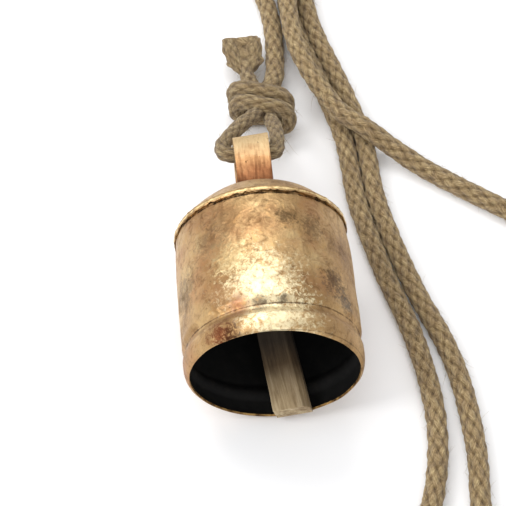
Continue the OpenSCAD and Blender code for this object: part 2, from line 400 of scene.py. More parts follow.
# hitch, knot, tail and end knot, all of the same rope

knot = {
    "centre": (11, 126, 15.4),
    "wide": 15.4,          # mm from the middle to the centreline of a wrap, sideways
    "high": 10.3,          # the same, upwards
    "pitch": 10.2,         # from one wrap to the next
    "slope": 3.4,          # how much further back a wrap lies on the left than on the right
    "turns": 2.15,
    "radius": 5.1,         # of the rope where it is pulled tight in the wraps
    "hitchR": 4.6,         # where it is drawn through the strap
    "tailR": 5.3,
    "foldR": 3.4,          # the strands that show at each side of the flattened tail
    "endR": 5.0,
}

arch = Vector(next(j for j in frame["joints"] if j["name"] == "bell_swing")["pos_m"]) / mm
hitchY = arch.y - 1.8
hitchRoute = [
    (8.5, 124, 15), (8, 116, 21.5), (4.5, 109.5, 27), (-1.5, 101.5, 32), (-7, 93.5, 36), (-11.8, 85.5, 39.8),
    (-15.8, 77, 43), (-14.6, 70, 46.2), (-7.5, hitchY, arch.z), (0, hitchY, arch.z), (7.5, hitchY, arch.z),
    (13.4, 69.5, 46), (15.4, 77, 42.5), (16.2, 88, 37), (16, 98, 31), (15, 107, 24.5), (14.5, 116, 18),
    (14.5, 124, 15),
]


def wrapRoute():
    x0, y0, z0 = knot["centre"]
    route = []
    steps = 22
    for i in range(int(knot["turns"] * steps) + 1):
        t = i / steps
        angle = 2 * math.pi * (t - 0.16)
        # the two ends tuck in under the other strands
        tuck = min(1, 0.55 + 0.45 * min(t, knot["turns"] - t) / 0.14)
        c, s = math.cos(angle), math.sin(angle)
        oval = 1 / (abs(c) ** 2.5 + abs(s) ** 2.5) ** 0.4
        y = y0 + knot["pitch"] * (t - knot["turns"] / 2) - knot["slope"] * c + 0.8 * math.sin(3 * angle)
        route.append((x0 + knot["wide"] * tuck * c * oval * 0.98, y, z0 + knot["high"] * tuck * s * oval))
    return route


tailRoute = [
    (7, 128, 16), (6.5, 138, 16.5), (5, 147, 14.5), (4.5, 155, 12.5), (4.5, 161, 11.5), (4.2, 168, 11.2),
    (4.2, 173, 11.8), (4.2, 178.5, 12.2),
]

endKnotRoute = [
    (158, 36.5, 5.8), (163, 33, 6), (169, 30, 7), (174, 31, 11), (174.5, 36, 15), (169.5, 39, 17.5),
    (164, 35.5, 17.5), (162.5, 29.5, 14), (166, 24.5, 9.5), (172, 22.5, 7), (178, 25, 7), (181.5, 30, 9),
]


foldRoutes = [
    [(2, 154, 13), (-1.8, 162, 14.6), (-3.6, 170, 15), (-3.4, 178.5, 14.2)],
    [(5.5, 157, 12.5), (8.4, 165, 14), (9.4, 172, 14.2), (8.8, 179.5, 13.4)],
]


def foldShape(far, total):
    return 0.8 + 0.75 * min(1, 1.6 * far / total), 0.62


def tailShape(far, total):
    # pinched where the knot grips it, then folded over and flattened into a flap
    t = far / total
    spread = min(1, max(0, (t - 0.5) / 0.2))
    spread = spread * spread * (3 - 2 * spread)
    pinch = 1 - 0.18 * math.exp(-((t - 0.48) / 0.1) ** 2)
    return pinch * (1 + (0.8 + 0.55 * t) * spread), pinch * (1 - 0.12 * spread)


knotLook = dict(rope, ringStep=0.8, sides=44, pitch=10.5)
juteDark = juteMaterial("plaited jute in the knot", 0.84)
hitchLoop, hitchCentre, hitchFrames = plaitedTube(
    "hitchLoop", smoothRoute(hitchRoute, 12), knot["hitchR"], knotLook, phase=5)
knotWraps, wrapCentre, wrapFrames = plaitedTube(
    "knotWraps", smoothRoute(wrapRoute(), 4), knot["radius"], knotLook, phase=11)
tailFlap, tailCentre, tailFrames = plaitedTube(
    "tailFlap", smoothRoute(tailRoute, 12), knot["tailR"], knotLook, tailShape, phase=23)
tailFolds = [
    plaitedTube("tailFold" + side, smoothRoute(route, 12), knot["foldR"], knotLook, foldShape, phase=51)[0]
    for side, route in zip("LR", foldRoutes)]
endKnot, endCentre, endFrames = plaitedTube(
    "endKnot", smoothRoute(endKnotRoute, 12), knot["endR"], knotLook, phase=37)
for piece in (hitchLoop, knotWraps, tailFlap, endKnot, *tailFolds):
    piece.data.materials.append(juteDark)
report("knots")

# stray fibres

fuzz = {
    "perCm": 13,          # fibres on each centimetre of rope
    "thick": 0.085,       # mm, half the width of a fibre, drawn as coarse as it needs to show
    "long": (2.0, 7.5),   # mm
    "lift": (0.15, 0.9),  # how steeply a fibre leaves the rope
    "clear": 13.5,        # mm round the strap's hinge with no fibres, because the strap swings there
    "steps": 5,
}


def strayFibres(name, runs, seed):
    draw = random.Random(seed)
    steps = fuzz["steps"]
    points, faces = [], []
    for centre, frames, radius, share in runs:
        side, top, far = frames
        count = int(far[-1] / 10 * fuzz["perCm"] * share)
        for _ in range(count):
            i = draw.randrange(2, len(centre) - 2)
            turn = draw.uniform(0, 2 * math.pi)
            out = side[i] * math.cos(turn) + top[i] * math.sin(turn)
            if out[2] < -0.75 or math.hypot(centre[i][0], centre[i][1] - arch.y) < fuzz["clear"]:
                continue
            ahead = unit(centre[i + 1] - centre[i - 1]) * draw.choice((-1, 1))
            skew = np.cross(ahead, out)
            lift = draw.uniform(*fuzz["lift"]) ** 2
            length = draw.uniform(*fuzz["long"]) * (2 if draw.random() < 0.06 else 1)
            heading = unit(ahead + out * lift + skew * draw.uniform(-0.8, 0.8))
            curl = (out * draw.uniform(-0.12, 0.2) + skew * draw.uniform(-0.25, 0.25)
                    + np.array([0, 0, draw.uniform(-0.12, 0.02)]))
            spot = centre[i] + out * radius * 0.93
            base = len(points)
            for k in range(steps + 1):
                t = k / steps
                across = unit(np.cross(heading, out) + 1e-6)
                over = np.cross(across, heading)
                thick = fuzz["thick"] * (1 - 0.75 * t)
                for m in range(3):
                    w = 2 * math.pi * m / 3
                    q = spot + (across * math.cos(w) + over * math.sin(w)) * thick
                    points.append((q[0] * mm, q[1] * mm, max(q[2], 0.12) * mm))
                spot = spot + heading * length / steps
                heading = unit(heading + curl * 0.9)
            for k in range(steps):
                for m in range(3):
                    a, b = base + 3 * k + m, base + 3 * k + (m + 1) % 3
                    faces.append((a + 3, b + 3, b, a))
            faces.append((base, base + 1, base + 2))
            faces.append((base + 3 * steps + 2, base + 3 * steps + 1, base + 3 * steps))
    return meshPiece(name, points, faces)


def fibreMaterial():
    # single jute fibres: paler than the rope, because light goes through them
    material, tree = newMaterial("stray jute fibre")
    place = addNode(tree, "ShaderNodeTexCoord")
    patch = addNode(tree, "ShaderNodeTexNoise", {"Vector": place.outputs["Object"]}, Scale=300, Detail=2)
    colour = addNode(tree, "ShaderNodeValToRGB", {"Fac": patch.outputs["Fac"]},
                     stops=[(0.35, "#5f4e33"), (0.5, "#8f7d5a"), (0.65, "#b9a880")]).outputs["Color"]
    finishShader(tree, {"Base Color": colour}, Roughness=0.7)
    return material


fibreLook = fibreMaterial()
ropeFibres = strayFibres("ropeFibres", [(ropeCentre, ropeFrames, rope["radius"], 1)], 4)
knotFibres = strayFibres("knotFibres", [
    (hitchCentre, hitchFrames, 5.0, 1.3), (wrapCentre, wrapFrames, knot["radius"], 1.2),
    (tailCentre, tailFrames, 6.5, 1.6), (endCentre, endFrames, knot["endR"], 1.3)], 9)
for piece in (ropeFibres, knotFibres):
    piece.data.materials.append(fibreLook)
report("stray fibres")

# bell wall

bell = {
    "bandR": 47.7, "seamR": 45.8, "lipR": 45.0,
    "height": 88, "sheet": 1.1,
    "bandH": 8, "grooveH": 15, "grooveD": 1.9, "grooveW": 11,
    "mouthY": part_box("bell_wall")[0].y / mm,
    "domeH": 26, "collarH": 2.9, "collarR": 47.0,
    "lipSkew": math.radians(-2.1),
    "segments": 240,
}


def bump(u):
    return (1 + math.cos(math.pi * u)) / 2 if abs(u) < 1 else 0


def wallRadius(h):
    body = bell["bandR"] - (bell["bandR"] - bell["seamR"]) * max(0, (h / bell["height"] - 0.68) / 0.32) ** 2
    if h < bell["bandH"]:
        body -= (bell["bandR"] - bell["lipR"]) * (1 - math.sqrt(1 - (1 - h / bell["bandH"]) ** 2))
    return body - bell["grooveD"] * bump((h - bell["grooveH"]) / (bell["grooveW"] / 2))


def turnedShell(name, profile, segments):
    # a ring is extruded and resized up a profile of heights and radii, in mm, round the bell's axis
    firstH, firstR = profile[0]
    deselectAll()
    bpy.ops.mesh.primitive_circle_add(
        vertices=segments, radius=firstR * mm, rotation=(math.pi / 2, 0, 0),
        location=(0, (bell["mouthY"] + firstH) * mm, bell["bandR"] * mm))
    piece = startPiece(name)
    editAll(piece)
    for (h0, r0), (h1, r1) in zip(profile, profile[1:]):
        bpy.ops.mesh.extrude_region_move(TRANSFORM_OT_translate={"value": (0, (h1 - h0) * mm, 0)})
        bpy.ops.transform.resize(
            value=(r1 / r0, 1, r1 / r0),
            center_override=(0, (bell["mouthY"] + h1) * mm, bell["bandR"] * mm))
    return piece


def wander(angle, rate, seed):
    # a wavy value from -1 to 1 that closes on itself round the bell
    return noise.noise(Vector((math.cos(angle) * rate, math.sin(angle) * rate, seed)))


def dentedWall(co):
    x, h, z = co.x / mm, co.y / mm - bell["mouthY"], co.z / mm - bell["bandR"]
    r, angle = math.hypot(x, z), math.atan2(z, x)
    low = max(0, 1 - h / 24)
    # the mouth isn't quite square to the axis, and the lip wavers
    shift = math.tan(bell["lipSkew"]) * x * low + 0.7 * wander(angle, 2.4, 3.3) * low ** 2
    dent = 0.55 * noise.noise(Vector((x, h, z)) / 26) + 0.22 * noise.noise(Vector((x, h, z)) / 9)
    dent *= 1 - 0.5 * low
    dent += 0.35 * wander(angle, 2.2, 8.1) * bump((h - bell["grooveH"]) / 9)
    if z < -0.6 * bell["bandR"]:
        dent = min(dent, -0.02)
    k = (r + dent) / r
    return Vector((x * k, h + shift + bell["mouthY"], z * k + bell["bandR"])) * mm


def makeWall(looks):
    heights = [0, 0.15, 0.4, 0.8, 1.3, 2, 2.8, 3.7, 4.8, 6, 7.2]
    heights += [8 + 0.7 * i for i in range(20)]
    heights += [22.5 + 3 * i for i in range(21)]
    heights += [84.4, 86, 87.2, 88]
    piece = turnedShell("bellWall", [(h, wallRadius(h)) for h in heights], bell["segments"])
    bpy.ops.mesh.select_all(action="SELECT")
    bpy.ops.mesh.normals_make_consistent(inside=False)
    deselectAll()
    reshape(piece, dentedWall)
    for look in looks:
        piece.data.materials.append(look)
    applyModifier(piece, "SOLIDIFY", thickness=bell["sheet"] * mm, offset=-1,
                  material_offset=1, material_offset_rim=2, use_even_offset=True)
    smooth(piece)
    return piece


def onBell(turnDegrees, h, r=bell["bandR"]):
    # a place on the wall: degrees round from the top towards +X, and mm up from the mouth
    turn = math.radians(turnDegrees)
    return (r * math.sin(turn) * mm, (bell["mouthY"] + h) * mm, (bell["bandR"] + r * math.cos(turn)) * mm)


# marks on the coat: a place, how far it spreads in mm, how strongly, and the colour; the pale ones are
# painted highlights, and some dark ones are painted shade, as noted below
wallMarks = [
    # painted highlights: pale patches for the light's reflection above the groove, on the band and on the
    # upper left
    (onBell(-6, 27), 42, 0.72, "#f2e4bc"),
    (onBell(3, 9), 38, 0.72, "#f2e4bc"),
    (onBell(-24, 46), 26, 0.35, "#e6d09a"),
    (onBell(-28, 72), 24, 0.35, "#6f5738"),
    (onBell(8, 72), 20, 0.3, "#7a6140"),
    (onBell(14, 68), 11, 0.7, "#4b3a26"),
    (onBell(31, 63), 16, 0.5, "#4f3d2a"),
    (onBell(44, 34), 17, 0.75, "#4a3325"),
    (onBell(54, 24), 13, 0.7, "#45423f"),
    (onBell(-36, 5), 17, 0.85, "#6b3018"),
    (onBell(-30, 3), 11, 0.8, "#3b2314"),
    (onBell(-67, 42), 26, 0.5, "#5b4b36"),
    # painted shade on the upper left of the body
    (onBell(-39, 62), 20, 0.4, "#5c4a36"),
    # painted shade along the groove
    (onBell(-9, 17), 9, 0.8, "#3e2617"),
    (onBell(7, 17), 7, 0.8, "#3e2617"),
    (onBell(-22, 18), 12, 0.7, "#8a4526"),
    (onBell(60, 60), 22, 0.45, "#6a4a33"),
    (onBell(120, 50), 30, 0.6, "#5a4430"),
    (onBell(-130, 40), 34, 0.6, "#6b4a30"),
    (onBell(180, 70), 30, 0.5, "#4d3c2a"),
]
capMarks = [
    ((0, 0.038, 0.0477), 30, 0.7, "#85583a"),
    (onBell(20, 96, 38), 18, 0.5, "#6a4329"),
    (onBell(-60, 92, 42), 20, 0.5, "#6a4a30"),
]
# rings of colour: mm up from the mouth, how wide, how strongly, and the colour
# on the wall: painted shade under the collar's edge and in the groove, and a darker band at the lip
wallRings = [(84.3, 2.2, 0.95, "#2e2014"), (16.2, 1.7, 0.75, "#4a2f1c"), (0.2, 1.2, 0.5, "#3a2816")]
# on the cap: a painted highlight along the collar, a darker band above it and painted shade at its lower
# edge
capRings = [(86.6, 2.6, 0.9, "#ecd39c"), (89.8, 1.6, 0.6, "#5a3d26"), (84.9, 0.8, 0.8, "#3a2616")]


def brassMaterial(name, marks, rings):
    # sheet iron with a coat of melted brass: wrinkled where it flowed thick, coppery and brown where it
    # burned, pitted and rubbed dull by handling, with painted highlights in pale patches and painted shade
    # in the seams
    material, tree = newMaterial(name)
    place = addNode(tree, "ShaderNodeTexCoord")
    where = place.outputs["Object"]
    cloud = addNode(tree, "ShaderNodeTexNoise", {"Vector": where}, Scale=38, Detail=6, Roughness=0.62)
    blotch = addNode(tree, "ShaderNodeTexNoise", {"Vector": where}, Scale=130, Detail=8, Roughness=0.72,
                     Distortion=0.8)
    grain = addNode(tree, "ShaderNodeTexNoise", {"Vector": where}, Scale=620, Detail=5, Roughness=0.7)
    wrinkle = addNode(tree, "ShaderNodeTexNoise", {"Vector": where}, noise_type="RIDGED_MULTIFRACTAL",
                      Scale=260, Detail=4, Roughness=0.6, Distortion=0.4)
    burn = addNode(tree, "ShaderNodeTexNoise", {"Vector": where}, Scale=24, Detail=5, Roughness=0.6)
    drip = addNode(tree, "ShaderNodeMapping", {"Vector": where}, Scale=(1, 0.3, 1))
    streak = addNode(tree, "ShaderNodeTexNoise", {"Vector": drip.outputs["Vector"]}, Scale=260, Detail=6,
                     Roughness=0.7)
    flake = addNode(tree, "ShaderNodeTexNoise", {"Vector": where}, Scale=360, Detail=8, Roughness=0.8,
                    Distortion=0.5)
    tone = addNode(
        tree, "ShaderNodeValToRGB", {"Fac": cloud.outputs["Fac"]},
        stops=[(0.3, "#957750"), (0.44, "#ab8a5f"), (0.56, "#bd9d70"), (0.7, "#cfb485")]).outputs["Color"]
    burnt = addNode(tree, "ShaderNodeValToRGB", {"Fac": burn.outputs["Fac"]},
                    stops=[(0.5, 0.0), (0.66, 0.6)]).outputs["Color"]
    coppered = addNode(tree, "ShaderNodeMix", {0: burnt, 6: tone, 7: linear("#ac7a54")},
                       data_type="RGBA").outputs[2]
    streaky = addNode(tree, "ShaderNodeValToRGB", {"Fac": streak.outputs["Fac"]},
                      stops=[(0.34, "#7d6342"), (0.5, "#ffffff")]).outputs["Color"]
    withStreaks = addNode(tree, "ShaderNodeMix", {0: 0.3, 6: coppered, 7: streaky},
                          data_type="RGBA", blend_type="MULTIPLY").outputs[2]
    mottle = addNode(tree, "ShaderNodeValToRGB", {"Fac": blotch.outputs["Fac"]},
                     stops=[(0.34, "#8f7654"), (0.5, "#ffffff"), (0.66, "#fff3d6")]).outputs["Color"]
    colour = addNode(tree, "ShaderNodeMix", {0: 0.55, 6: withStreaks, 7: mottle},
                     data_type="RGBA", blend_type="MULTIPLY").outputs[2]
    island = addNode(tree, "ShaderNodeValToRGB", {"Fac": flake.outputs["Fac"]},
                     stops=[(0.36, 0.0), (0.66, 1.0)]).outputs["Color"]
    speck = addNode(tree, "ShaderNodeValToRGB", {"Fac": grain.outputs["Fac"]},
                    stops=[(0.3, 0.85), (0.38, 0.0)]).outputs["Color"]
    colour = addNode(tree, "ShaderNodeMix", {0: speck, 6: colour, 7: linear("#4a351f")},
                     data_type="RGBA").outputs[2]
    for spot, spread, strength, markColour in marks:
        # each mark, the coat's own patches as well as the painted highlights and painted shade, is ragged at
        # its edge because it keeps to the low places of the coat
        away = addNode(tree, "ShaderNodeVectorMath", {0: where, 1: spot}, operation="DISTANCE")
        near = addNode(tree, "ShaderNodeMapRange", {"Value": away.outputs["Value"]},
                       From_Min=0, From_Max=spread * mm, To_Min=1.15, To_Max=0)
        low = addNode(tree, "ShaderNodeMath", {0: near.outputs["Result"], 1: island}, operation="SUBTRACT")
        ragged = addNode(tree, "ShaderNodeValToRGB", {"Fac": low.outputs["Value"]},
                         stops=[(0.05, 0.0), (0.5, strength)]).outputs["Color"]
        colour = addNode(tree, "ShaderNodeMix", {0: ragged, 6: colour, 7: linear(markColour)},
                         data_type="RGBA").outputs[2]
    split = addNode(tree, "ShaderNodeSeparateXYZ", {"Vector": where})
    for h, reach, strength, shade in rings:
        # each ring: painted shade under the collar and in the groove, a painted highlight on the collar, and
        # darker bands on the lip and above the collar
        level = addNode(tree, "ShaderNodeMath", {0: split.outputs["Y"], 1: (bell["mouthY"] + h) * mm},
                        operation="SUBTRACT")
        offset = addNode(tree, "ShaderNodeMath", {0: level.outputs["Value"]}, operation="ABSOLUTE")
        band = addNode(tree, "ShaderNodeMapRange", {"Value": offset.outputs["Value"]},
                       From_Max=reach * mm, To_Min=0.75, To_Max=0)
        patchy = addNode(tree, "ShaderNodeMath", {0: band.outputs["Result"], 1: streak.outputs["Fac"]},
                         operation="SUBTRACT")
        ringMask = addNode(tree, "ShaderNodeValToRGB", {"Fac": patchy.outputs["Value"]},
                       stops=[(0.02, 0.0), (0.2, strength)]).outputs["Color"]
        colour = addNode(tree, "ShaderNodeMix", {0: ringMask, 6: colour, 7: linear(shade)},
                         data_type="RGBA").outputs[2]
    rough = addNode(tree, "ShaderNodeValToRGB", {"Fac": blotch.outputs["Fac"]},
                    stops=[(0.3, 0.66), (0.5, 0.44), (0.68, 0.34)]).outputs["Color"]
    lump = addNode(tree, "ShaderNodeMix", {0: 0.35, 6: blotch.outputs["Color"], 7: grain.outputs["Color"]},
                   data_type="RGBA").outputs[2]
    crinkled = addNode(tree, "ShaderNodeValToRGB", {"Fac": burn.outputs["Fac"]},
                       stops=[(0.42, 0.12), (0.54, 0.55)]).outputs["Color"]
    wrinkled = addNode(tree, "ShaderNodeMix", {0: crinkled, 6: lump, 7: wrinkle.outputs["Color"]},
                       data_type="RGBA").outputs[2]
    bumpy = addNode(tree, "ShaderNodeBump", {"Height": wrinkled}, Strength=0.7, Distance=0.0015)
    finishShader(tree, {"Base Color": colour, "Roughness": rough, "Normal": bumpy.outputs["Normal"]},
                 Metallic=0.93)
    return material


def blackMaterial():
    # the inside: bare iron blackened in the fire, dull, with soot and a few rubbed spots
    material, tree = newMaterial("fire-blackened iron")
    place = addNode(tree, "ShaderNodeTexCoord")
    sootAndShade = addNode(tree, "ShaderNodeTexNoise", {"Vector": place.outputs["Object"]}, Scale=160, Detail=6)
    colour = addNode(tree, "ShaderNodeValToRGB", {"Fac": sootAndShade.outputs["Fac"]},
                     stops=[(0.35, "#070707"), (0.6, "#100f0e"), (0.75, "#1d1a17")]).outputs["Color"]
    bumpy = addNode(tree, "ShaderNodeBump", {"Height": sootAndShade.outputs["Fac"]}, Strength=0.4, Distance=0.0006)
    finishShader(tree, {"Base Color": colour, "Normal": bumpy.outputs["Normal"]},
                 Roughness=0.75, Specular_IOR_Level=0.25)
    return material


def rimMaterial():
    # the cut edge of the sheet, brass that the hand has worn and darkened
    material, tree = newMaterial("worn sheet edge")
    place = addNode(tree, "ShaderNodeTexCoord")
    wear = addNode(tree, "ShaderNodeTexNoise", {"Vector": place.outputs["Object"]}, Scale=260, Detail=5)
    colour = addNode(tree, "ShaderNodeValToRGB", {"Fac": wear.outputs["Fac"]},
                     stops=[(0.36, "#3f2d1c"), (0.5, "#8b6a3f"), (0.66, "#c8a266")]).outputs["Color"]
    bumpy = addNode(tree, "ShaderNodeBump", {"Height": wear.outputs["Fac"]}, Strength=0.5, Distance=0.0005)
    finishShader(tree, {"Base Color": colour, "Normal": bumpy.outputs["Normal"]},
                 Roughness=0.5, Metallic=0.85)
    return material


inside = blackMaterial()
rim = rimMaterial()
bellWall = makeWall((brassMaterial("brass-dipped sheet", wallMarks, wallRings), inside, rim))
report("bell wall")

# crown cap


def raggedCap(co):
    x, h, z = co.x / mm, co.y / mm - bell["mouthY"] - bell["height"], co.z / mm - bell["bandR"]
    r, angle = math.hypot(x, z), math.atan2(z, x)
    if r < 1e-3:
        return co
    fold = max(0, min(1, (1.6 - h) / 1.6))
    patchy = 0.35 + 2 * abs(wander(angle, 4, 7.7))
    ragged = wander(angle, 9, 1.7) * 0.8
    ragged += patchy * (wander(angle, 24, 5.5) * 0.9 + wander(angle, 55, 0.5) * 0.6)
    low = max(0, min(1, -h / bell["collarH"]))
    out = fold * (0.45 * wander(angle, 14, 9.9) + 0.35 * wander(angle, 36, 2.2)) + 0.3 * fold
    out += 0.5 * noise.noise(Vector((x, h, z)) / 22) * (1 - fold)
    if z < -0.6 * r:
        out = min(out, 0.2)
    k = (r + out) / r
    y = h - low * ragged * 0.9 + bell["mouthY"] + bell["height"]
    return Vector((x * k, y, z * k + bell["bandR"])) * mm


def makeCap(looks):
    rimR, seamR, domeH = bell["collarR"], bell["seamR"], bell["domeH"]
    ball = (seamR ** 2 + domeH ** 2) / (2 * domeH)
    base = bell["height"]
    profile = [
        (base - bell["collarH"], rimR), (base - 2.2, rimR + 0.15), (base - 1.4, rimR + 0.2),
        (base - 0.5, rimR + 0.15), (base + 0.3, rimR - 0.1), (base + 0.9, rimR - 0.6),
        (base + 1.3, rimR - 1.3)]
    for i in range(1, 30):
        slant = (1 - i / 30) * math.asin(seamR / ball) * 0.97
        profile.append((base + domeH - ball + ball * math.cos(slant), ball * math.sin(slant)))
    piece = turnedShell("crownCap", profile, bell["segments"])
    bpy.ops.mesh.extrude_region_move(TRANSFORM_OT_translate={"value": (0, 0.02 * mm, 0)})
    bpy.ops.mesh.merge(type="CENTER")
    bpy.ops.mesh.select_all(action="SELECT")
    bpy.ops.mesh.normals_make_consistent(inside=False)
    deselectAll()
    reshape(piece, raggedCap)
    for look in looks:
        piece.data.materials.append(look)
    applyModifier(piece, "SOLIDIFY", thickness=bell["sheet"] * mm, offset=-1,
                  material_offset=1, material_offset_rim=2, use_even_offset=False)
    smooth(piece, 50)
    return piece


crownCap = makeCap((brassMaterial("brass-dipped cap", capMarks, capRings), inside, rim))
report("crown cap")

# strap handle

strap = {
    "width": 20, "thick": 1.5, "outerR": 9.5,
    "legY": 31,           # mm, where the legs end inside the cap
    "footReach": 10,
    "bendY": 45,          # mm, where the straight legs end and the curve begins
    "legSteps": 18, "footSteps": 5,
}


def makeStrap():
    top = arch.z + strap["outerR"]
    long = arch.y - strap["legY"]
    deselectAll()
    bpy.ops.mesh.primitive_grid_add(
        x_subdivisions=24, y_subdivisions=36, size=1 * mm,
        location=(0, (strap["legY"] + arch.y) / 2 * mm, top * mm))
    bpy.context.object.scale = (strap["width"], long, 1)
    piece = startPiece("strapHandle")
    editAll(piece)
    selectVertices(piece, lambda co: co.y > (arch.y - 0.01) * mm)
    bpy.ops.mesh.spin(steps=28, angle=math.pi, center=(0, arch.y * mm, arch.z * mm), axis=(1, 0, 0))
    low = arch.z - strap["outerR"]
    selectVertices(piece, lambda co: co.z < (low + 0.01) * mm)
    for _ in range(strap["legSteps"]):
        bpy.ops.mesh.extrude_region_move(
            TRANSFORM_OT_translate={"value": (0, -long / strap["legSteps"] * mm, 0)})
    # the feet are clenched outwards against the inside of the cap
    for end, way in ((top, 1), (low, -1)):
        selectVertices(piece, lambda co: co.y < (strap["legY"] + 0.01) * mm and abs(co.z / mm - end) < 0.1)
        out = way * strap["footReach"] / strap["footSteps"]
        for k in range(strap["footSteps"]):
            bpy.ops.mesh.extrude_region_move(
                TRANSFORM_OT_translate={"value": (0, -0.25 * k * mm, out * mm)})
    bpy.ops.mesh.select_all(action="SELECT")
    bpy.ops.mesh.remove_doubles(threshold=0.01 * mm)
    bpy.ops.mesh.normals_make_consistent(inside=False)
    deselectAll()

    def worn(co):
        x, y, z = co / mm
        far = max(0, (y - 50) / 30)
        wobble = noise.noise(Vector((x, y, z)) / 12)
        spread = 1 + 0.02 * wobble * far
        if y > strap["bendY"]:
            # the hammered arch is one long curve, not a straight leg and a tight bend
            share = min(1, (y - strap["bendY"]) / (arch.y + strap["outerR"] - strap["bendY"]))
            z = arch.z + math.copysign(strap["outerR"] * (1 - share ** 3) ** (1 / 3), z - arch.z)
        return Vector((x * spread, y + 0.13 * x * far, z + 0.25 * wobble * far)) * mm

    reshape(piece, worn)
    applyModifier(piece, "SOLIDIFY", thickness=strap["thick"] * mm, offset=-1)
    applyModifier(piece, "BEVEL", width=0.35 * mm, segments=3, limit_method="ANGLE",
                  angle_limit=math.radians(50))
    smooth(piece, 45)
    return piece


def copperMaterial():
    # the strap: the same coppery coat, with a painted highlight on the crown of the arch and painted shade
    # darkening it to red-brown at its root
    material, tree = newMaterial("coppery strap with painted light")
    place = addNode(tree, "ShaderNodeTexCoord")
    where = place.outputs["Object"]
    split = addNode(tree, "ShaderNodeSeparateXYZ", {"Vector": where})
    waver = addNode(tree, "ShaderNodeTexNoise", {"Vector": where}, Scale=110, Detail=5, Roughness=0.6)
    nudge = addNode(tree, "ShaderNodeMath", {0: waver.outputs["Fac"], 1: 0.022, 2: -0.011},
                    operation="MULTIPLY_ADD")
    along = addNode(tree, "ShaderNodeMath", {0: split.outputs["Y"], 1: nudge.outputs["Value"]},
                    operation="ADD")
    span = addNode(tree, "ShaderNodeMapRange", {"Value": along.outputs["Value"]},
                   From_Min=0.042, From_Max=0.080)
    # the coat's coppery colour, with painted shade at the root rising to a painted highlight on the arch
    colour = addNode(
        tree, "ShaderNodeValToRGB", {"Fac": span.outputs["Result"]},
        stops=[(0.0, "#5d3a24"), (0.2, "#8a5c3c"), (0.42, "#b98d61"),
               (0.7, "#dcc093"), (0.95, "#d9bd8f")]).outputs["Color"]
    scratch = addNode(tree, "ShaderNodeMapping", {"Vector": where}, Scale=(1, 0.12, 1))
    lines = addNode(tree, "ShaderNodeTexNoise", {"Vector": scratch.outputs["Vector"]}, Scale=900, Detail=4)
    lineTone = addNode(tree, "ShaderNodeValToRGB", {"Fac": lines.outputs["Fac"]},
                       stops=[(0.36, "#9c6a41"), (0.52, "#ffffff")]).outputs["Color"]
    marked = addNode(tree, "ShaderNodeMix", {0: 0.16, 6: colour, 7: lineTone},
                     data_type="RGBA", blend_type="MULTIPLY").outputs[2]
    pits = addNode(tree, "ShaderNodeTexNoise", {"Vector": where}, Scale=330, Detail=5, Roughness=0.7)
    pitMask = addNode(tree, "ShaderNodeValToRGB", {"Fac": pits.outputs["Fac"]},
                      stops=[(0.3, 1.0), (0.37, 0.0)]).outputs["Color"]
    pitted = addNode(tree, "ShaderNodeMix", {0: pitMask, 6: marked, 7: linear("#4a2a17")},
                     data_type="RGBA").outputs[2]
    rough = addNode(tree, "ShaderNodeValToRGB", {"Fac": lines.outputs["Fac"]},
                    stops=[(0.35, 0.6), (0.6, 0.42)]).outputs["Color"]
    relief = addNode(tree, "ShaderNodeMix", {0: 0.3, 6: pits.outputs["Color"], 7: lines.outputs["Color"]},
                     data_type="RGBA").outputs[2]
    bumpy = addNode(tree, "ShaderNodeBump", {"Height": relief}, Strength=0.4, Distance=0.0006)
    finishShader(tree, {"Base Color": pitted, "Roughness": rough, "Normal": bumpy.outputs["Normal"]},
                 Metallic=0.95)
    return material


strapHandle = makeStrap()
strapHandle.data.materials.append(copperMaterial())
report("strap handle")

# clapper

stick = {
    "width": 20, "thick": 11, "neck": 8, "neckLong": 8, "neckTop": 6,
    "out": 8.2, "turn": 14, "gap": 0.4,
    "holeDown": 7, "holeLeft": 6.5, "holeH": 87, "holeR": 2.6,
    "spare": 20,          # mm of extra length, which the saw cut takes off
}


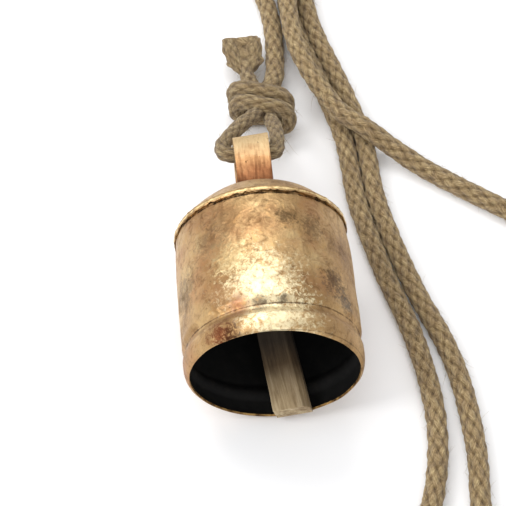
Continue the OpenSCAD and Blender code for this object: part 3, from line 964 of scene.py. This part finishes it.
def makeClapper():
    lipIn = bell["lipR"] - bell["sheet"]
    rest = math.sqrt(lipIn ** 2 - stick["width"] ** 2 / 4) - stick["gap"]
    far = math.hypot(rest - stick["holeDown"], stick["holeH"])
    lean = math.atan((rest - stick["holeDown"]) / stick["holeH"]) - math.asin(stick["thick"] / 2 / far)
    long = stick["holeH"] / math.cos(lean) + stick["spare"]
    slant = math.asin(stick["holeLeft"] / (long - stick["spare"]))
    layDown = Matrix.Translation((0, bell["mouthY"], bell["bandR"])) @ Matrix.Rotation(-math.pi / 2, 4, "X")
    turned = layDown @ Matrix.Rotation(-math.radians(stick["turn"]), 4, "Z")
    hang = turned @ Matrix.Translation((-stick["holeLeft"], stick["holeDown"], stick["holeH"]))
    hang = hang @ Matrix.Rotation(lean, 4, "X") @ Matrix.Rotation(-slant, 4, "Y")
    deselectAll()
    bpy.ops.mesh.primitive_cube_add(size=1, location=(0, 0, (stick["neckTop"] - long) / 2))
    bpy.context.object.scale = (stick["width"], stick["thick"], long + stick["neckTop"])
    piece = startPiece("clapperStick")
    editAll(piece)
    # the end is sawn off askew, just outside the mouth
    cut = turned.inverted() @ hang
    plane = cut.inverted() @ Vector((0, 0, -stick["out"]))
    square = (cut.inverted().to_3x3() @ Vector((-0.02, 0.14, -1))).normalized()
    bpy.ops.mesh.bisect(plane_co=plane, plane_no=square, clear_outer=True, use_fill=True)
    # a facet is split off the right edge
    bpy.ops.mesh.select_all(action="SELECT")
    bpy.ops.mesh.bisect(plane_co=(stick["width"] / 2 - 3.2, -stick["thick"] / 2, 0),
                        plane_no=Vector((0.75, -0.66, 0.0)), clear_outer=True, use_fill=True)
    steps = 70
    for i in range(1, steps):
        bpy.ops.mesh.select_all(action="SELECT")
        bpy.ops.mesh.bisect(plane_co=(0, 0, stick["neckTop"] - (long + stick["neckTop"]) * i / steps),
                            plane_no=(0, 0, 1))
    for i in range(1, 12):
        bpy.ops.mesh.select_all(action="SELECT")
        bpy.ops.mesh.bisect(plane_co=(stick["width"] * (i / 12 - 0.5), 0, 0), plane_no=(1, 0, 0))
    for i in range(1, 7):
        bpy.ops.mesh.select_all(action="SELECT")
        bpy.ops.mesh.bisect(plane_co=(0, stick["thick"] * (i / 7 - 0.5), 0), plane_no=(0, 1, 0))
    deselectAll()
    shoulder = -stick["neckLong"]
    slope = stick["width"] / 2

    def whittled(co):
        x, y, z = co
        t = max(0, min(1, (z - shoulder + slope) / slope))
        x *= 1 + (stick["neck"] / stick["width"] - 1) * t
        if x < 0:
            x *= 1 - 0.26 * max(0, min(1, (z + long) / 55 - 0.4)) * (1 - t)
        rib = Vector((x / 2.2, y / 2.2, z / 34))
        rough = 0.28 * noise.noise(rib) + 0.16 * noise.noise(rib * 3.1)
        bow = 0.25 * math.sin(z / 22)
        inset = 1 - 0.02 * (1 + rough * 2)
        return Vector((x * inset + rough * 0.6 + bow * (1 - t), y * inset + rough * 0.7, z))

    applyModifier(piece, "BEVEL", width=0.8, segments=3, limit_method="ANGLE", angle_limit=math.radians(35))
    reshape(piece, whittled)
    bpy.ops.mesh.primitive_cylinder_add(
        vertices=48, radius=stick["holeR"], depth=30, rotation=(0, math.pi / 2, 0))
    drill = startPiece("drill")
    applyModifier(piece, "BOOLEAN", object=drill, operation="DIFFERENCE", solver="EXACT")
    bpy.data.objects.remove(drill)
    piece.data.transform(hang)
    piece.data.transform(Matrix.Scale(mm, 4))
    smooth(piece, 35)
    return piece, hang


def woodMaterial(hang):
    # a split stick of weathered softwood: grey-brown, long grain, with painted shade darkening it the deeper
    # it reaches into the bell
    material, tree = newMaterial("weathered split wood")
    place = addNode(tree, "ShaderNodeTexCoord")
    where = place.outputs["Object"]
    # the grain runs along the stick, so the map is turned to it first
    turn = (hang.to_3x3()).inverted().to_euler()
    lined = addNode(tree, "ShaderNodeMapping", {"Vector": where}, Rotation=turn[:])
    drawn = addNode(tree, "ShaderNodeMapping", {"Vector": lined.outputs["Vector"]}, Scale=(1, 1, 0.07))
    grain = addNode(tree, "ShaderNodeTexNoise", {"Vector": drawn.outputs["Vector"]}, Scale=520, Detail=6,
                    Roughness=0.65, Distortion=0.3)
    band = addNode(tree, "ShaderNodeTexNoise", {"Vector": drawn.outputs["Vector"]}, Scale=140, Detail=3)
    stain = addNode(tree, "ShaderNodeTexNoise", {"Vector": where}, Scale=60, Detail=4)
    tone = addNode(
        tree, "ShaderNodeValToRGB", {"Fac": grain.outputs["Fac"]},
        stops=[(0.3, "#8d7857"), (0.45, "#ab9673"), (0.56, "#bda988"), (0.7, "#d6c5a4")]).outputs["Color"]
    bands = addNode(tree, "ShaderNodeValToRGB", {"Fac": band.outputs["Fac"]},
                    stops=[(0.35, "#a58f6d"), (0.6, "#ffffff")]).outputs["Color"]
    banded = addNode(tree, "ShaderNodeMix", {0: 0.6, 6: tone, 7: bands},
                     data_type="RGBA", blend_type="MULTIPLY").outputs[2]
    split = addNode(tree, "ShaderNodeSeparateXYZ", {"Vector": where})
    depth = addNode(tree, "ShaderNodeMapRange", {"Value": split.outputs["Y"]},
                    From_Min=(bell["mouthY"] + 4) * mm, From_Max=(bell["mouthY"] + 60) * mm)
    # painted shade: the stick darkens the deeper it reaches into the bell
    sootAndShade = addNode(
        tree, "ShaderNodeValToRGB", {"Fac": depth.outputs["Result"]},
        stops=[(0.0, "#ffffff"), (0.28, "#7c6e5c"), (0.5, "#3a3027"), (1.0, "#221b15")]).outputs["Color"]
    shadedInside = addNode(tree, "ShaderNodeMix", {0: 0.95, 6: banded, 7: sootAndShade},
                     data_type="RGBA", blend_type="MULTIPLY").outputs[2]
    stains = addNode(tree, "ShaderNodeValToRGB", {"Fac": stain.outputs["Fac"]},
                     stops=[(0.38, "#8d7b63"), (0.55, "#ffffff")]).outputs["Color"]
    stained = addNode(tree, "ShaderNodeMix", {0: 0.35, 6: shadedInside, 7: stains},
                      data_type="RGBA", blend_type="MULTIPLY").outputs[2]
    bumpy = addNode(tree, "ShaderNodeBump", {"Height": grain.outputs["Fac"]}, Strength=0.7, Distance=0.0008)
    finishShader(tree, {"Base Color": stained, "Normal": bumpy.outputs["Normal"]}, Roughness=0.82)
    return material


clapperStick, stickPlace = makeClapper()
clapperStick.data.materials.append(woodMaterial(stickPlace))
report("clapper")

# wire fittings keep their CAD shapes

iron = ironMaterial()
for node in ("clapper_staple", "clapper_link"):
    fitting = frame["nodes"][node]
    for s in fitting.material_slots:
        s.material = iron
    if not fitting.material_slots:
        fitting.data.materials.append(iron)

# bodies and nodes

joins = [
    (longRope, "rope", "rope", "jute"),
    (hitchLoop, "rope", "rope_hitch", "jute"),
    (knotWraps, "rope", "rope_knot", "jute"),
    (tailFlap, "rope", "rope_tail", "jute"),
    (tailFolds[0], "rope", None, "jute"),
    (tailFolds[1], "rope", None, "jute"),
    (endKnot, "rope", "rope_end_knot", "jute"),
    (ropeFibres, "rope", None, "jute"),
    (knotFibres, "rope", None, "jute"),
    (bellWall, "bell", "bell_wall", "aged_brass"),
    (crownCap, "bell", "crown_cap", "aged_brass"),
    (strapHandle, "bell", "strap_handle", "strap_copper"),
    (clapperStick, "clapper", "clapper", "rough_wood"),
]
for piece, body, node, finish in joins:
    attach(piece, body)
    if node:
        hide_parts(node)

report("bodies")

# floor, light and world


def makeFloor():
    deselectAll()
    bpy.ops.mesh.primitive_plane_add(size=6, location=(0, 0, 0))
    floor = startPiece("floor")
    material, tree = newMaterial("white paper")
    finishShader(tree, {}, Base_Color=(0.92, 0.92, 0.93, 1), Roughness=0.9)
    floor.data.materials.append(material)


def addArea(name, place, aim, size, power):
    data = bpy.data.lights.new(name, "AREA")
    data.shape = "RECTANGLE"
    data.size, data.size_y = size
    data.energy = power
    light = bpy.data.objects.new(name, data)
    bpy.context.collection.objects.link(light)
    light.location = place
    light.rotation_mode = "QUATERNION"
    light.rotation_quaternion = (Vector(aim) - Vector(place)).to_track_quat("-Z", "Y")


def makeLight():
    addArea("overhead", (-0.2, 0.72, 1.32), (0.0, 0.0, 0.04), (1.2, 0.34), 9)
    addArea("leftKey", (-1.25, -0.15, 1.25), (0, 0, 0.04), (0.8, 0.8), 14)
    addArea("frontFill", (0.1, -1.5, 1.3), (0, 0, 0.04), (1.2, 0.6), 8)
    world = bpy.data.worlds.new("studio")
    bpy.context.scene.world = world
    world.use_nodes = True
    world.node_tree.nodes["Background"].inputs["Color"].default_value = (1, 1, 1, 1)
    world.node_tree.nodes["Background"].inputs["Strength"].default_value = 0.75
    bpy.context.scene.view_settings.view_transform = "Standard"


makeFloor()
makeLight()
report("stage")
